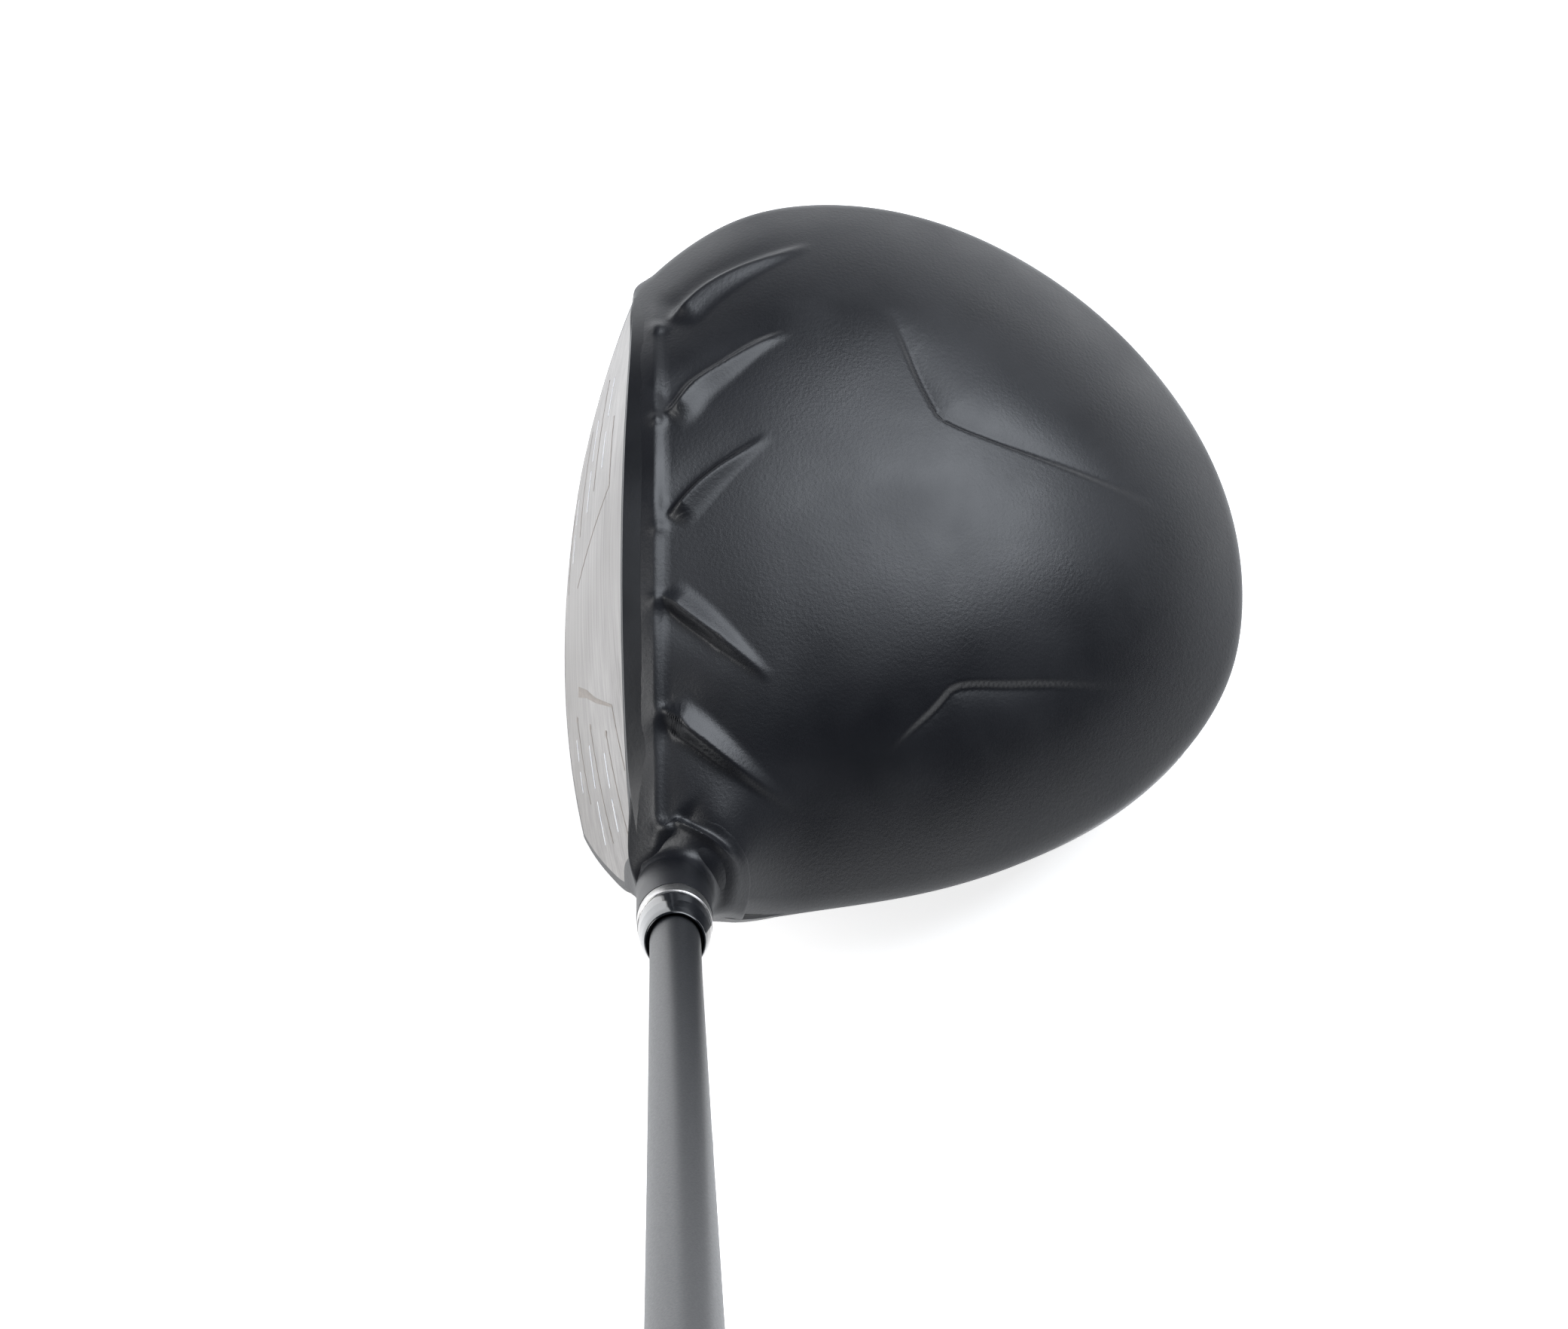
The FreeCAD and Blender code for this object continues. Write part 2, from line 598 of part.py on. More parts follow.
def build():
    outer = head_block(0.0, 0.0, 0.0, 0.0)
    nodes = {
        "body": make_body(outer),
        "crown": make_crown(outer),
        "crown_bond": make_crown_bond(),
        "face_plate": make_face_plate(),
        "hosel_ring": make_hosel_ring(),
        "hosel_sleeve": make_hosel_sleeve(),
        "ferrule": make_ferrule(),
        "tip_plug": make_tip_plug(),
        "hosel_bolt": make_hosel_bolt(),
        "bolt_washer": make_bolt_washer(),
        "bolt_retainer": make_bolt_retainer(),
        "shaft": make_shaft(),
        "counterweight": make_counterweight(),
        "grip_tape": make_grip_tape(),
        "grip": make_grip(),
        "grip_cap": make_grip_cap(),
        "rear_weight": make_rear_weight(),
        "weight_shoe": make_weight_shoe(),
        "weight_clamp": make_weight_clamp(),
        "weight_screw": make_weight_screw(),
        "screw_washer": make_screw_washer(),
    }
    os.makedirs("parts", exist_ok=True)
    for name, shape in nodes.items():
        print(name, "solids", len(shape.Solids), "valid", shape.isValid(), "volume", round(shape.Volume, 1))
        shape.exportStep("parts/%s.step" % name)


build()
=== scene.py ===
"""Looks of the golf driver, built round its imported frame.

Shapes are worked out in millimetres in the frame's own axes (+X heel, -X toe, -Y target,
+Z up) and written to Blender in metres.
"""
import math

import bpy
import numpy as np
from mathutils import Matrix, Vector


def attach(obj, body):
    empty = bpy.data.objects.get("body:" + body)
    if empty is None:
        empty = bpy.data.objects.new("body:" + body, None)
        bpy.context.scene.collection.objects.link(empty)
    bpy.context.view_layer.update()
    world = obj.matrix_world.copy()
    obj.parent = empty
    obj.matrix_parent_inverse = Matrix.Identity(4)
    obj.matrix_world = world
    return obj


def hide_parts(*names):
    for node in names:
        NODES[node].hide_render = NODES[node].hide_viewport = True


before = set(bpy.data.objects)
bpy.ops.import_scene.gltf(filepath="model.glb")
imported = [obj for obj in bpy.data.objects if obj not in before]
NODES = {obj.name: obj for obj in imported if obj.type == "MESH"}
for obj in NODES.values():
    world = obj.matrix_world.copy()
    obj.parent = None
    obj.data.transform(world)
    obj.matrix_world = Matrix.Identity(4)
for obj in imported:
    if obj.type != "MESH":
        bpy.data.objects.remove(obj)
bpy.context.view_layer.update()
MM = 0.001

# The part's own driving values
LIE = math.radians(59.5)
LOFT = math.radians(10.5)
HOSEL_TOP = np.array((68.5, -20.0, 64.0))
HOSEL_R = 6.35
FACE_MID = np.array((-1.5, -36.0, 30.0))
BULGE_RADIUS = 225.0
ROLL_RADIUS = 290.0
PEAK = np.array((-6.0, 0.0, 62.3))
CROWN_RADII = (140.0, 185.0)
CROWN_SHOULDER = 3.6
SWELL_HEIGHT = 5.0
SWELL_WIDTH = 11.0
SWELL_MIDDLE = (60.5, -20.0)
RIM_BACK = [
    (-65.0, -20.0, 38.5), (-72.8, -8.0, 38.5), (-76.0, 8.0, 38.0), (-74.5, 25.0, 36.0),
    (-65.2, 47.0, 33.0), (-44.5, 68.8, 31.0), (-20.3, 80.5, 29.5), (-3.0, 82.3, 28.5),
    (10.3, 80.0, 28.0), (32.3, 64.3, 27.5), (43.0, 48.5, 27.5), (52.5, 23.5, 29.0),
    (57.0, 2.0, 32.0), (60.0, -12.0, 37.0),
]
RIM_FRONT = [(57.0, 41.0), (42.0, 49.0), (22.0, 56.5), (0.0, 60.0), (-22.0, 58.5), (-42.0, 52.0),
             (-55.0, 43.0)]
SKIRT_TUCK = 34.0
SKIRT_POWER, BACK_SKIRT_POWER, FACE_END_POWER = 1.6, 2.6, 1.3
BACK_SKIRT_START, BACK_SKIRT_BLEND = 20.0, 45.0
FRONT_REACH = 16.0
CROWN_THICKNESS = 1.3

SHAFT_UP = np.array((math.cos(LIE), 0.0, math.sin(LIE)))
TOEWARD = np.array((-math.sin(LIE), 0.0, math.cos(LIE)))
BACKWARD = np.array((0.0, 1.0, 0.0))

# Crown details, in plan: raised ridges behind the topline, small nubs ahead of them, two bent creases
# (side the ridge drops off to, height, width, path from front to back)
RIDGES = [
    (-1, 2.0, 5.0, [(-46.5, -21.0), (-49.0, -19.0), (-52.5, -16.0), (-56.0, -11.5), (-59.5, -4.5),
                    (-63.5, 5.0)]),
    (-1, 1.9, 4.8, [(-25.0, -22.0), (-27.5, -19.5), (-30.5, -17.5), (-35.0, -12.0), (-40.0, -4.5),
                    (-42.5, 1.0)]),
    (-1, 1.5, 4.2, [(-5.0, -21.0), (-9.5, -17.5), (-14.5, -12.0), (-18.0, -7.0), (-21.0, -3.0)]),
    (1, 1.7, 4.4, [(8.0, -22.5), (11.0, -19.5), (15.0, -14.5), (18.5, -10.0), (24.0, -3.0)]),
    (1, 1.9, 4.8, [(27.5, -22.5), (31.0, -19.0), (34.5, -14.5), (38.0, -9.5), (43.5, 1.0)]),
]
NUBS = [(-45.5, -22.5, 0.6), (-24.5, -23.0, 0.5), (-3.5, -22.5, 0.3), (9.5, -23.0, 0.4), (29.0, -22.0, 0.5),
        (48.0, -21.5, 0.9)]
NUB_RADII = (1.3, 1.5)
NECK_RIDGE = [(46.0, -20.5), (48.0, -17.5), (50.0, -14.0), (52.0, -11.0), (54.0, -8.5)]
MOUND = (54.0, -13.5, 3.6)      # middle and height of the swelling behind the hosel
CREASES = [
    (-1, [(-49.5, 17.5), (-42.0, 20.0), (-35.0, 22.3), (-28.0, 25.2), (-25.6, 26.7), (-24.0, 29.4),
          (-22.0, 35.0), (-18.5, 48.0), (-15.0, 63.0), (-14.0, 69.0)]),
    (1, [(35.5, 16.0), (30.0, 21.5), (25.5, 26.2), (23.6, 28.0), (22.6, 30.6), (22.0, 36.0),
         (21.0, 44.0), (20.0, 53.0), (19.0, 61.5)]),
]

# Face marks, as X and height: painted dashes, etched lines and one tapered stroke
DASHES = [
    (41.5, [(-40.0, -32.5), (-29.5, -22.5)]),
    (30.0, [(-36.5, -28.5), (-26.5, -18.5)]),
    (15.0, [(-27.0, -22.0), (-20.0, -14.5)]),
    (16.5, [(20.0, 24.0), (26.0, 30.0)]),
    (28.0, [(25.0, 33.0), (35.5, 43.5)]),
    (38.5, [(30.0, 36.5), (38.5, 44.5)]),
]
ETCHED_LINES = [
    [(-42.0, 35.5), (-20.5, 35.5)], [(-37.0, 23.0), (-16.5, 23.0)], [(-26.0, 9.5), (-10.5, 9.5)],
    [(-30.0, 47.5), (-16.0, 49.5), (-6.5, 23.5)], [(24.5, 47.5), (37.0, 49.5)],
    [(17.0, 19.0), (34.0, 22.0)], [(22.5, 30.5), (45.0, 33.5)], [(27.5, 41.5), (48.0, 44.0)],
]
ETCHED_DOTS = [(17.0, 19.0), (22.5, 30.5), (27.5, 41.5)]
ETCHED_STROKE = [(13.0, 22.5), (16.0, 30.0), (19.5, 36.5), (24.5, 47.5)]

# Neck, weight and grip
NECK_ROOT = 34.0                # from the hosel's top down to where the neck's rays start
NECK_BLEND = 6.0
FACE_SIDE_BLEND = 1.5           # the fillet is tighter where it meets the face
NECK_R = HOSEL_R + 0.06
RAY_STEP = 0.75
TRACK_AXIS = np.array((-3.5, 32.0, 21.5))
HEEL_ANGLE = math.radians(61.0)
WEIGHT_HALF_ANGLE = math.radians(7.5)
WEIGHT_RADII = (42.9, 47.8)
WEIGHT_HALF_HEIGHT = 3.5
CORNER_POWER = 0.22             # how square the weight's corners are
SEAT_DEPTH = 3.6                # of the screw's washer under the weight's face
SCREW_HOLE_R = 2.25
SCREW_HEAD_R = 2.9
GRIP_LOW, GRIP_HIGH = 819.0, 1086.0
GRIP_BORE = (7.75, 7.95)
DIAMONDS_ROUND = 20
DIAMOND_PITCH = 8.0
PATTERN_SPAN = (12.0, 252.0, 60.0)      # its ends above the mouth, and from one band to the next


# ---------------------------------------------------------------- curves and surfaces
def spline(points, samples, closed=False):
    """Points along the smooth cubic through the given ones, evenly by parameter."""
    p = np.array(points, float)
    if closed:
        p = np.vstack([p, p[:1]])
    step = np.linalg.norm(np.diff(p, axis=0), axis=1)
    slope = np.diff(p, axis=0) / step[:, None]
    n = len(step) + (0 if closed else 1)
    system, right = np.zeros((n, n)), np.zeros((n, p.shape[1]))
    for i in range(n):
        if not closed and i in (0, n - 1):
            system[i, i] = 1.0
            continue
        system[i, i - 1] += step[i - 1]
        system[i, i] += 2 * (step[i - 1] + step[i])
        system[i, (i + 1) % n] += step[i]
        right[i] = 6 * (slope[i] - slope[i - 1])
    bend = np.linalg.solve(system, right)
    if closed:
        bend = np.vstack([bend, bend[:1]])
    knots = np.concatenate([[0], np.cumsum(step)])
    at = np.linspace(0, knots[-1], samples, endpoint=not closed)
    i = np.clip(np.searchsorted(knots, at, side="right") - 1, 0, len(step) - 1)
    t, h = (at - knots[i])[:, None], step[i][:, None]
    rise = slope[i] - h * (2 * bend[i] + bend[i + 1]) / 6
    return p[i] + t * rise + bend[i] * t ** 2 / 2 + (bend[i + 1] - bend[i]) * t ** 3 / (6 * h)


def smooth(t):
    t = np.clip(t, 0.0, 1.0)
    return t * t * (3 - 2 * t)


def face_y(x, z):
    height = z - FACE_MID[2]
    bulge = (x - FACE_MID[0]) ** 2 / (2 * BULGE_RADIUS)
    return FACE_MID[1] + bulge + height ** 2 / (2 * ROLL_RADIUS) + height * math.tan(LOFT)


def polar_table(points):
    """Angle, distance and height round a closed outline, about the crown's peak."""
    line = spline(points, 1440, closed=True)
    dx, dy = line[:, 0] - PEAK[0], line[:, 1] - PEAK[1]
    angle = np.arctan2(dy, dx)
    order = np.argsort(angle)
    return angle[order], np.hypot(dx, dy)[order], line[order, 2]


RIM_POINTS = RIM_BACK + [(x, face_y(x, z), z) for x, z in RIM_FRONT]
RIM = polar_table(RIM_POINTS)


def rim_at(angle):
    turn = 2 * math.pi
    return np.interp(angle, RIM[0], RIM[1], period=turn), np.interp(angle, RIM[0], RIM[2], period=turn)


def dome_drop(dx, dy):
    return dx ** 2 / (2 * CROWN_RADII[0]) + dy ** 2 / (2 * CROWN_RADII[1])


def crown_z(x, y):
    dx, dy = x - PEAK[0], y - PEAK[1]
    distance = np.hypot(dx, dy) + 1e-9
    rim, rim_height = rim_at(np.arctan2(dy, dx))
    share = distance / rim
    edge_drop = PEAK[2] - rim_height - dome_drop(dx / share, dy / share)
    shoulder = np.where(share <= 1, share ** CROWN_SHOULDER, 1 + CROWN_SHOULDER * (share - 1))
    away = np.hypot(x - SWELL_MIDDLE[0], y - SWELL_MIDDLE[1])
    swell = SWELL_HEIGHT * np.exp(-0.5 * (away / SWELL_WIDTH) ** 2)
    return PEAK[2] - dome_drop(dx, dy) - edge_drop * shoulder + swell


def along_path(path, x, y, reach):
    """For points near a path: which they are, how far along (0 to 1), how far left and past its ends."""
    line = spline(path, 220)
    tangent = np.gradient(line, axis=0)
    tangent /= np.linalg.norm(tangent, axis=1)[:, None]
    low, high = line.min(0) - reach, line.max(0) + reach
    near = np.flatnonzero((x > low[0]) & (x < high[0]) & (y > low[1]) & (y < high[1]))
    share, left = np.zeros(len(near)), np.zeros(len(near))
    beyond = np.zeros(len(near))
    for part in np.array_split(np.arange(len(near)), max(1, len(near) // 20000)):
        px, py = x[near[part]], y[near[part]]
        k = np.argmin((px[:, None] - line[:, 0]) ** 2 + (py[:, None] - line[:, 1]) ** 2, axis=1)
        ox, oy = px - line[k, 0], py - line[k, 1]
        share[part] = k / (len(line) - 1)
        left[part] = -ox * tangent[k, 1] + oy * tangent[k, 0]
        beyond[part] = np.abs(ox * tangent[k, 0] + oy * tangent[k, 1])
    return near, share, left, beyond


def crown_detail(x, y):
    """Height of the ridges, nubs, front band and creases above the plain crown."""
    x, y = np.atleast_1d(x).astype(float), np.atleast_1d(y).astype(float)
    rise = np.zeros(len(x))
    # a leading band slopes down to the face, and the crown sinks a little behind it
    middle = 1 - smooth((np.abs(x - 2.0) - 46.0) / 12.0)
    band = np.clip((-y - 23.5) / 5.0, -0.4, 1.1)
    rise += middle * np.where(band > 0, 0.35 - 0.85 * band, 0.35 * (1 - smooth(-band / 0.4)))
    rise -= 0.30 * middle * smooth((y + 23.0) / 2.6) * (1 - smooth((y + 20.0) / 16.0))
    for side, height, width, path in RIDGES:
        near, share, left, beyond = along_path(path, x, y, 11.0)
        inner = side * left
        crest = height * smooth(share / 0.16) * (1 - smooth((share - 0.25) / 0.75)) ** 0.7
        crest = crest * np.exp(-(beyond / 0.9) ** 2)
        breadth = width * (0.35 + 0.65 * (1 - smooth((share - 0.2) / 0.8)))
        fall = np.clip((inner - 0.35) / breadth, 0, 1)
        gentle = (1 - fall) ** 2 * (1 + 0.9 * fall)
        steep = 0.5 + 0.5 * np.cos(math.pi * np.clip(-inner / 1.15, 0, 1))
        outward = np.clip(-inner, 0, None) / 1.6
        hollow = 0.35 * outward * np.exp(1 - outward)
        rise[near] += crest * np.where(inner >= 0, gentle, steep - hollow)
    near, share, left, beyond = along_path(NECK_RIDGE, x, y, 8.0)
    crest = smooth(share / 0.2) * (1 - smooth((share - 0.55) / 0.45)) * np.exp(-(beyond / 0.9) ** 2)
    groove = np.clip(left, 0, None) / 1.3
    rise[near] += crest * (0.7 * np.exp(-(left / 0.7) ** 2) - 1.3 * groove * np.exp(1 - groove))
    for nx, ny, height in NUBS:
        rise += height * np.exp(-((x - nx) / NUB_RADII[0]) ** 2 - ((y - ny) / NUB_RADII[1]) ** 2)
    mx, my, height = MOUND
    rise += height * np.exp(-((x - mx) / 8.5) ** 2 - ((y - my) / 7.5) ** 2)
    for side, path in CREASES:
        near, share, left, beyond = along_path(path, x, y, 26.0)
        outer = -side * left
        depth = 1.5 * smooth(share / 0.3) * (1 - smooth((share - 0.5) / 0.5))
        depth = depth * np.exp(-(beyond / 1.2) ** 2)
        wall = smooth((outer + 0.35) / 0.7)
        rise[near] -= depth * wall * np.exp(-np.clip(outer, 0, None) / 5.0)
    return rise


def skirt_power(y):
    share = np.clip((y - BACK_SKIRT_START) / BACK_SKIRT_BLEND, 0, 1)
    return SKIRT_POWER + (BACK_SKIRT_POWER - SKIRT_POWER) * share


def skirt_outline(z):
    """The block's outline at one height, running straight ahead from the rim's two front corners."""
    heel, toe = len(RIM_BACK), len(RIM_POINTS) - 1
    outline = [(p, 0.0) for p in RIM_POINTS[:heel + 1]] + [(p, FRONT_REACH) for p in RIM_POINTS[heel:]]
    points = []
    for i, ((x, y, rim_z), reach) in enumerate(outline + [(RIM_POINTS[toe], 0.0)]):
        drop = max(1.0 - z / rim_z, 0.0)
        ox, oy = x - PEAK[0], y - PEAK[1]
        away = math.hypot(ox, oy)
        tuck = SKIRT_TUCK * drop ** (skirt_power(y) if i < heel else FACE_END_POWER)
        ox -= ox / away * tuck
        oy -= oy / away * tuck * (reach == 0.0) + reach
        points.append((PEAK[0] + ox, PEAK[1] + oy, z))
    return points


SKIRT_LEVELS = np.arange(-2.0, 62.1, 1.0)
SKIRT_ANGLES = np.linspace(-math.pi, math.pi, 721)
SKIRT_TABLE = np.array([
    np.interp(SKIRT_ANGLES, *polar_table(skirt_outline(z))[:2], period=2 * math.pi) for z in SKIRT_LEVELS
])


def skirt_r(angle, z):
    """Distance of the skirt from the peak's axis, in one direction at one height."""
    a = (np.mod(angle + math.pi, 2 * math.pi)) / (SKIRT_ANGLES[1] - SKIRT_ANGLES[0])
    b = np.clip(z - SKIRT_LEVELS[0], 0, len(SKIRT_LEVELS) - 1.001)
    i, j = np.clip(a.astype(int), 0, len(SKIRT_ANGLES) - 2), b.astype(int)
    fa, fb = a - i, b - j
    return ((SKIRT_TABLE[j, i] * (1 - fa) + SKIRT_TABLE[j, i + 1] * fa) * (1 - fb)
            + (SKIRT_TABLE[j + 1, i] * (1 - fa) + SKIRT_TABLE[j + 1, i + 1] * fa) * fb)


# ---------------------------------------------------------------- materials
COAT_ROUGHNESS = 0.1
BRUSHED_CONTRAST = 0.16


def material(name, colour, roughness, metallic=0.0, specular=0.5, coat=0.0, emission=0.0):
    made = bpy.data.materials.new(name)
    made.use_nodes = True
    tree = made.node_tree
    shader = tree.nodes["Principled BSDF"]
    shader.inputs["Base Color"].default_value = (*colour, 1)
    shader.inputs["Roughness"].default_value = roughness
    shader.inputs["Metallic"].default_value = metallic
    shader.inputs["Specular IOR Level"].default_value = specular
    shader.inputs["Coat Weight"].default_value = coat
    shader.inputs["Coat Roughness"].default_value = COAT_ROUGHNESS
    if emission:
        shader.inputs["Emission Color"].default_value = (1, 1, 1, 1)
        shader.inputs["Emission Strength"].default_value = emission
    return made, tree, shader


def node(tree, kind, **values):
    made = tree.nodes.new(kind)
    for key, value in values.items():
        made.inputs[key].default_value = value
    return made


def noise(tree, scale, detail=3.0, stretch=(1, 1, 1), rough=0.5):
    """A noise texture in object space, with its scale per metre along each axis."""
    where = node(tree, "ShaderNodeTexCoord").outputs["Object"]
    fit = node(tree, "ShaderNodeMapping")
    fit.inputs["Scale"].default_value = stretch
    texture = node(tree, "ShaderNodeTexNoise", Scale=scale, Detail=detail, Roughness=rough)
    tree.links.new(where, fit.inputs["Vector"])
    tree.links.new(fit.outputs["Vector"], texture.inputs["Vector"])
    return texture


def remap(tree, source, low, high, to_low, to_high):
    ranged = node(tree, "ShaderNodeMapRange")
    for key, value in (("From Min", low), ("From Max", high), ("To Min", to_low), ("To Max", to_high)):
        ranged.inputs[key].default_value = value
    tree.links.new(source, ranged.inputs["Value"])
    return ranged.outputs["Result"]


def tint(tree, source, first, second, low=0.3, high=0.7):
    ramp = node(tree, "ShaderNodeValToRGB")
    ramp.color_ramp.elements[0].position, ramp.color_ramp.elements[1].position = low, high
    ramp.color_ramp.elements[0].color, ramp.color_ramp.elements[1].color = (*first, 1), (*second, 1)
    tree.links.new(source, ramp.inputs["Fac"])
    return ramp.outputs["Color"]


def bump(tree, shader, source, distance):
    made = node(tree, "ShaderNodeBump", Strength=1.0, Distance=distance)
    tree.links.new(source, made.inputs["Height"])
    tree.links.new(made.outputs["Normal"], shader.inputs["Normal"])


def uneven_gloss(tree, shader, source, smoothest, roughest):
    tree.links.new(remap(tree, source, 0.3, 0.7, smoothest, roughest), shader.inputs["Roughness"])


def paint(name, colour, roughness, depth=0.00004):
    """Sprayed satin paint: fine orange peel, slightly uneven gloss and tone."""
    made, tree, shader = material(name, colour, roughness)
    peel = noise(tree, 1600.0, detail=2.5, rough=0.6)
    broad = noise(tree, 55.0, detail=3.0)
    bump(tree, shader, peel.outputs["Fac"], depth)
    uneven_gloss(tree, shader, broad.outputs["Fac"], roughness - 0.06, roughness + 0.06)
    lighter = tuple(min(1.0, c * 1.25) for c in colour)
    tree.links.new(tint(tree, broad.outputs["Fac"], colour, lighter), shader.inputs["Base Color"])
    return made


def brushed(name, colour, roughness, stretch, scale=900.0):
    """Brushed metal: long fine scratches along one axis."""
    made, tree, shader = material(name, colour, roughness, metallic=1.0)
    fine = noise(tree, scale, detail=4.0, stretch=stretch, rough=0.7)
    broad = noise(tree, 40.0, detail=2.0)
    bump(tree, shader, fine.outputs["Fac"], 0.000012)
    darker = tuple(c * (1 - BRUSHED_CONTRAST) for c in colour)
    lighter = tuple(min(1.0, c * (1 + BRUSHED_CONTRAST)) for c in colour)
    tree.links.new(tint(tree, fine.outputs["Fac"], darker, lighter, 0.35, 0.65), shader.inputs["Base Color"])
    uneven_gloss(tree, shader, broad.outputs["Fac"], roughness - 0.05, roughness + 0.07)
    return made


def moulded(name, colour, roughness, grain=900.0, depth=0.00003, coat=0.0):
    """Plastic, rubber or glue with a fine grain."""
    made, tree, shader = material(name, colour, roughness, coat=coat)
    fine = noise(tree, grain, detail=3.0)
    bump(tree, shader, fine.outputs["Fac"], depth)
    lighter = tuple(min(1.0, c * 1.3) for c in colour)
    tree.links.new(tint(tree, fine.outputs["Fac"], colour, lighter), shader.inputs["Base Color"])
    uneven_gloss(tree, shader, fine.outputs["Fac"], roughness - 0.04, roughness + 0.04)
    return made


CROWN_PAINT = paint("crown_paint", (0.0060, 0.0066, 0.0090), 0.42)
BODY_PAINT = paint("body_paint", (0.0060, 0.0066, 0.0085), 0.40, depth=0.00002)
FACE_METAL = brushed("face_metal", (0.30, 0.287, 0.278), 0.42, (0.012, 1.0, 1.0))
ETCHED = moulded("etched_line", (0.27, 0.24, 0.215), 0.6)
WHITE_PAINT = moulded("white_dash", (0.78, 0.82, 0.90), 0.45)
RING_METAL = brushed("ring_metal", (0.66, 0.65, 0.64), 0.30, (1.0, 1.0, 0.05))
FERRULE_GLOSS = moulded("ferrule_gloss", (0.010, 0.011, 0.013), 0.13, coat=0.6, depth=0.000004)
SHAFT_MATTE = moulded("shaft_graphite", (0.011, 0.012, 0.014), 0.42, grain=2600.0, depth=0.000012)
RUBBER = moulded("grip_rubber", (0.014, 0.014, 0.015), 0.72, grain=1500.0, depth=0.00008)
STEEL = brushed("bolt_steel", (0.42, 0.42, 0.43), 0.32, (1, 1, 1), scale=1400.0)
TUNGSTEN = brushed("weight_metal", (0.16, 0.16, 0.17), 0.34, (0.03, 1.0, 1.0))
DARK_PLASTIC = moulded("dark_plastic", (0.020, 0.020, 0.021), 0.55)
ADHESIVE = moulded("adhesive", (0.020, 0.020, 0.019), 0.5)
CAP_RUBBER = moulded("cap_rubber", (0.020, 0.020, 0.021), 0.6, grain=700.0)


# ---------------------------------------------------------------- mesh helpers
def piece(name, points, faces, look, body, node_names=(), sharp=40.0):
    mesh = bpy.data.meshes.new(name)
    mesh.from_pydata((np.asarray(points, float) * MM).tolist(), [], faces)
    mesh.validate()
    mesh.polygons.foreach_set("use_smooth", np.ones(len(mesh.polygons), bool))
    mesh.set_sharp_from_angle(angle=math.radians(sharp))
    mesh.materials.append(look)
    made = bpy.data.objects.new(name, mesh)
    bpy.context.scene.collection.objects.link(made)
    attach(made, body)
    if node_names:
        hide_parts(*node_names)
    return made


def grid_faces(rows, columns, start=0, flip=False):
    """Quads over rows of points that close on themselves."""
    i, j = np.meshgrid(np.arange(rows - 1), np.arange(columns), indexing="ij")
    k = (j + 1) % columns
    quads = np.stack([i * columns + j, i * columns + k, (i + 1) * columns + k, (i + 1) * columns + j], -1)
    quads = quads.reshape(-1, 4) + start
    return (quads[:, ::-1] if flip else quads).tolist()


def fan(centre, first, columns, flip=False):
    faces = [(centre, first + j, first + (j + 1) % columns) for j in range(columns)]
    return [f[::-1] for f in faces] if flip else faces


def on_shaft(radius, angle, height):
    """Points at these radii, angles and heights up the shaft, as an array of rows."""
    radius, angle, height = np.broadcast_arrays(radius, angle, height)
    side = np.cos(angle)[..., None] * TOEWARD + np.sin(angle)[..., None] * BACKWARD
    return HOSEL_TOP + height[..., None] * SHAFT_UP + radius[..., None] * side


def lathe(name, profile, look, body, node_names, segments=96, sharp=35.0):
    """A closed outline of (radius, height), turned round the shaft's axis."""
    angle = np.linspace(0, 2 * math.pi, segments, endpoint=False)
    rows = np.array(profile, float)
    points = on_shaft(rows[:, :1], angle[None, :], rows[:, 1:]).reshape(-1, 3)
    count = len(rows)
    faces = grid_faces(count, segments)
    last = (count - 1) * segments
    faces += [(last + j, last + (j + 1) % segments, (j + 1) % segments, j) for j in range(segments)]
    return piece(name, points, faces, look, body, node_names, sharp)


def rounded(profile, radius, steps=4):
    """The same closed outline with its corners rounded."""
    p = np.array(profile, float)
    out = []
    for i in range(len(p)):
        before, here, after = p[i - 1], p[i], p[(i + 1) % len(p)]
        a, b = before - here, after - here
        la, lb = np.linalg.norm(a), np.linalg.norm(b)
        cut = min(radius, 0.45 * la, 0.45 * lb)
        start, end = here + a / la * cut, here + b / lb * cut
        for t in np.linspace(0, 1, steps + 1):
            out.append(tuple((1 - t) ** 2 * start + 2 * t * (1 - t) * here + t * t * end))
    return out


